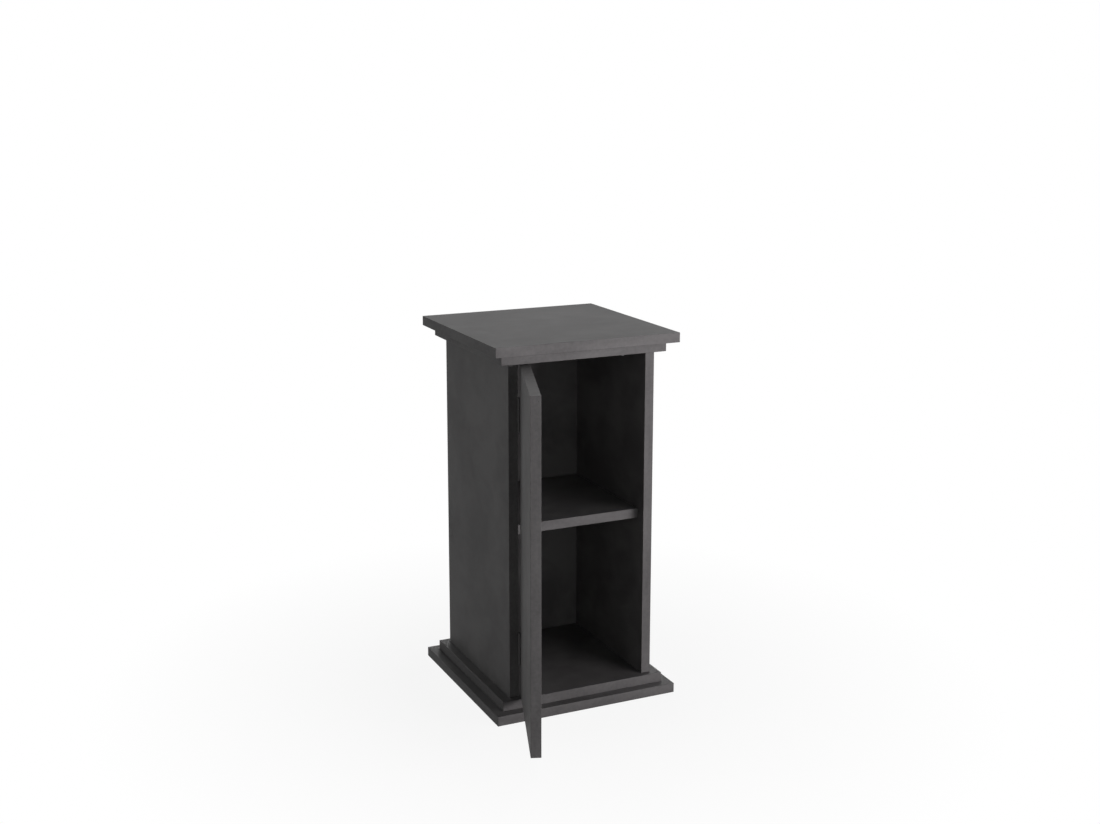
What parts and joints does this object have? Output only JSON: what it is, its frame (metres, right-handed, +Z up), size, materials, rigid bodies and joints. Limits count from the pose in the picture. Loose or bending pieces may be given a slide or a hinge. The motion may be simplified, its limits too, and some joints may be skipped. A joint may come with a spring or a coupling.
{
  "type": "storage side table with door",
  "caption": "Slim storage side table with stepped base and top, one shelf and an inset hinged door standing open, in dark concrete-look board.",
  "frame": {"origin": "centre of the base plate's underside", "axes": "+Z up; the door side faces -Y; +X is the door's free side"},
  "size_m": [0.3238, 0.4772, 0.575],
  "materials": {
    "concrete_board": "dark grey concrete-look melamine, satin",
    "concrete_edging": "matching concrete-look edge band",
    "beech_dowel": "raw fluted beech",
    "zinc_steel": "zinc-plated steel",
    "hinge_steel": "steel powder-coated in dark grey",
    "latch_plastic": "dark grey moulded plastic",
    "magnet": "magnet with a black epoxy coat"
  },
  "bodies": {
    "cabinet": {"base_plate_outer": "concrete_board", "base_plate_inner": "concrete_board", "side_panel_left": "concrete_board", "side_panel_right": "concrete_board", "back_panel": "concrete_board", "shelf": "concrete_board", "top_plate_inner": "concrete_board", "top_plate_outer": "concrete_board", "base_plate_outer_edging": "concrete_edging", "base_plate_inner_edging": "concrete_edging", "side_panel_left_edging": "concrete_edging", "side_panel_right_edging": "concrete_edging", "shelf_edging": "concrete_edging", "top_plate_inner_edging": "concrete_edging", "top_plate_outer_edging": "concrete_edging", "carcass_dowels": "beech_dowel", "back_panel_dowels": "beech_dowel", "carcass_screws_base": "zinc_steel", "carcass_screws_top": "zinc_steel", "tier_screws_base": "zinc_steel", "tier_screws_top": "zinc_steel", "shelf_pins": "zinc_steel", "hinge_leaf_cabinet_lower": "hinge_steel", "hinge_leaf_cabinet_upper": "hinge_steel", "hinge_pins": "hinge_steel", "hinge_screws_cabinet": "hinge_steel", "latch_housing": "latch_plastic", "latch_screws": "zinc_steel"},
    "door": {"door_panel": "concrete_board", "door_edging": "concrete_edging", "hinge_leaf_door_lower": "hinge_steel", "hinge_leaf_door_upper": "hinge_steel", "hinge_screws_door": "hinge_steel", "strike_plate": "zinc_steel", "strike_screws": "zinc_steel"},
    "latch_plunger": {"latch_plunger": "latch_plastic", "latch_magnet": "magnet", "latch_spring": "zinc_steel"}
  },
  "joints": [
    {"name": "door_hinge", "type": "hinge", "parent": "cabinet", "child": "door", "pos_m": [-0.10425, -0.1265, 0.2875], "axis": [0, 0, 1], "range_deg": [-70, 110]},
    {"name": "latch_push", "type": "slide", "parent": "cabinet", "child": "latch_plunger", "axis": [0, 1, 0], "range_m": [0, 0.0025], "stiffness_N_per_m": 300}
  ]
}
